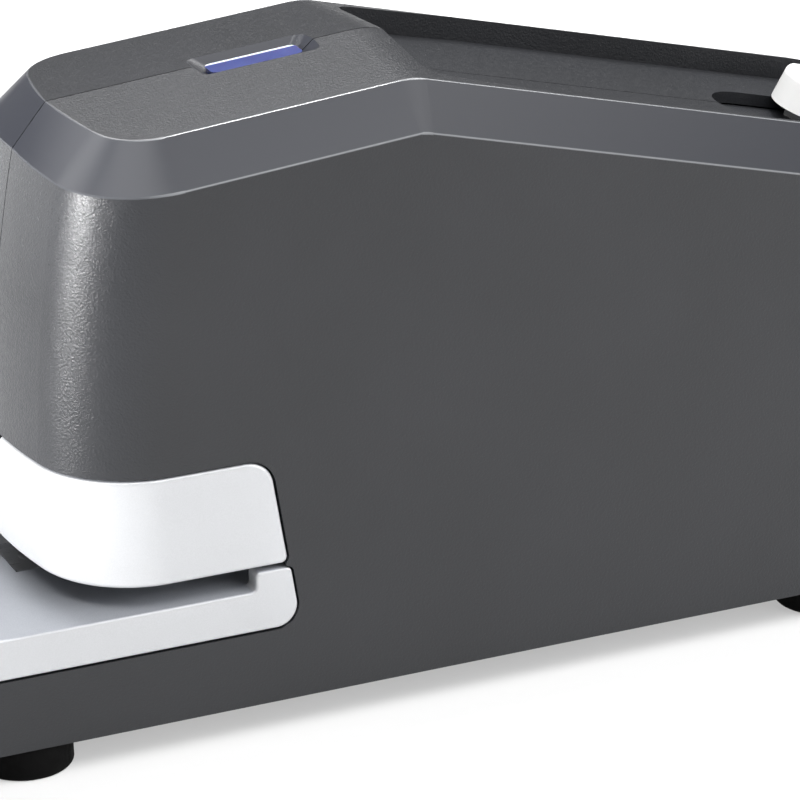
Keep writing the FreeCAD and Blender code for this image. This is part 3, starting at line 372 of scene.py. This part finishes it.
# ---------------------------------------------------------------- studio
def make_floor():
    bpy.ops.mesh.primitive_plane_add(size=FLOOR_SIZE)
    floor = bpy.context.object
    floor.name = "studio_floor"
    paint = Paint("floor_white", (FLOOR_WHITE,) * 3, 0.9, Specular_IOR_Level=0.0)
    paint.bump(paint.noise(0.004, 2.0), 0.00002, 0.2)
    paint.shader.inputs["Emission Color"].default_value = (1.0, 1.0, 1.0, 1)
    reach = paint.add("ShaderNodeVectorMath", operation="LENGTH")
    paint.links.new(paint.place, reach.inputs[0])
    paint.set("Emission Strength", paint.ranged(reach.outputs["Value"], 0.0, FLOOR_FAR_GLOW, 0.8, 2.2))
    floor.data.materials.append(paint.material)
    return floor


def make_sky():
    world = bpy.data.worlds.new("studio_sky")
    world.use_nodes = True
    backdrop = world.node_tree.nodes["Background"]
    backdrop.inputs["Color"].default_value = (1.0, 1.0, 1.0, 1)
    backdrop.inputs["Strength"].default_value = SKY
    bpy.context.scene.world = world


def make_backdrop():
    """Pale dome behind everything. Only the camera sees it, so it adds no light of its own."""
    bpy.ops.mesh.primitive_uv_sphere_add(radius=FLOOR_SIZE / 2, segments=64, ring_count=32)
    dome = bpy.context.object
    dome.name = "studio_backdrop"
    paint = Paint("backdrop_white", (0.0, 0.0, 0.0), 1.0, Emission_Strength=BACKDROP_GLOW)
    paint.shader.inputs["Emission Color"].default_value = (1.0, 1.0, 1.0, 1)
    dome.data.materials.append(paint.material)
    dome.visible_diffuse = dome.visible_glossy = dome.visible_transmission = dome.visible_shadow = False


def softbox(name, azimuth, elevation, distance, width, height, radiance, aim, only=()):
    """Area light facing aim, width by height, that reaches every object or only the ones given.

    Angles are in degrees. Azimuth 0 is in front of the object, 90 at its rear end, -90 at its nose.
    """
    light = bpy.data.lights.new(name, "AREA")
    light.shape = "RECTANGLE"
    light.size, light.size_y = width, height
    light.energy = radiance * math.pi * width * height
    lamp = bpy.data.objects.new(name, light)
    turn, rise = math.radians(azimuth), math.radians(elevation)
    back = Vector((math.sin(turn) * math.cos(rise), -math.cos(turn) * math.cos(rise), math.sin(rise)))
    lamp.location = aim + back * distance
    lamp.rotation_euler = (-back).to_track_quat("-Z", "Y").to_euler()
    if only:
        lamp.light_linking.receiver_collection = group_of(name + "_receivers", only)
    bpy.context.scene.collection.objects.link(lamp)


def group_of(name, members):
    group = bpy.data.collections.new(name)
    for member in members:
        group.objects.link(member)
    return group


def floor_lift(floor, strength):
    """Even light that only the floor receives and nothing shades, so that the shadows stay pale."""
    light = bpy.data.lights.new("floor_lift", "SUN")
    light.energy = strength
    lamp = bpy.data.objects.new("floor_lift", light)
    only_floor = group_of("floor_lift_receivers", [floor])
    lamp.light_linking.receiver_collection = only_floor
    lamp.light_linking.blocker_collection = only_floor
    bpy.context.scene.collection.objects.link(lamp)


def make_lights(frame, centre, floor):
    """Soft light all round. Some lights reach only the casing, to draw its highlights."""
    shells = [frame["nodes"][name] for name in ("left_shell", "right_shell")]
    cover, deck = frame["nodes"]["nose_cover"], frame["nodes"]["stapling_deck"]
    glossy = [*shells, frame["nodes"]["lamp_window"]]
    others = [floor, *(node for node in frame["nodes"].values() if node not in glossy)]
    softbox("overhead_key", 117, 76.5, 1.3, 0.05, 0.05, 1300.0, centre)
    softbox("back_glow", 153, 57, 1.2, 1.3, 0.5, 8.6, centre)
    softbox("front_fill", 55, 21, 1.2, 0.9, 0.8, 5.4, centre, others)
    softbox("side_fill", 20, 8, 1.2, 1.0, 0.25, 2.0, centre, shells)
    softbox("front_high", 40, 55, 1.3, 1.3, 0.4, 4.3, centre)
    softbox("nose_high", -50, 62, 1.3, 1.3, 0.4, 6.2, centre)
    softbox("nose_side", -125, 40, 1.3, 0.7, 0.5, 5.6, centre, shells)
    softbox("edge_strip", 32, 33, 1.3, 0.9, 0.04, 20.0, centre, [*shells, cover, deck])
    softbox("nose_glow", -86, 8, 0.6, 0.08, 0.16, 150.0, centre, [*shells, cover])
    floor_lift(floor, 2.7)


def make_camera():
    data = bpy.data.cameras.new("camera")
    data.lens = CAMERA_LENS
    camera = bpy.data.objects.new("camera", data)
    turn, rise = math.radians(CAMERA_AZIMUTH), math.radians(CAMERA_ELEVATION)
    back = Vector((math.sin(turn) * math.cos(rise), -math.cos(turn) * math.cos(rise), math.sin(rise)))
    camera.location = CAMERA_AIM + back * CAMERA_DISTANCE
    camera.rotation_euler = (-back).to_track_quat("-Z", "Y").to_euler()
    bpy.context.scene.collection.objects.link(camera)
    bpy.context.scene.camera = camera


# ---------------------------------------------------------------- scene
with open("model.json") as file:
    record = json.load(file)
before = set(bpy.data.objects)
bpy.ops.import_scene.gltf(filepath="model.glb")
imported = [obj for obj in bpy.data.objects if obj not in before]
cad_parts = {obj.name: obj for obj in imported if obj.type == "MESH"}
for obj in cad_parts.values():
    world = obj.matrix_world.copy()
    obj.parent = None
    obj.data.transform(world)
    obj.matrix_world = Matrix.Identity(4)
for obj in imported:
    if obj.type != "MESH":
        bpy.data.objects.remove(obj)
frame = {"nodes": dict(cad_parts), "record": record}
cad_low, cad_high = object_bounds()

materials = make_materials()
dress(frame, materials)
make_pusher_spring(frame, materials)
floor = make_floor()
make_sky()
make_backdrop()
make_lights(frame, (cad_low + cad_high) / 2, floor)
make_camera()
bpy.context.scene.view_settings.view_transform = "Standard"
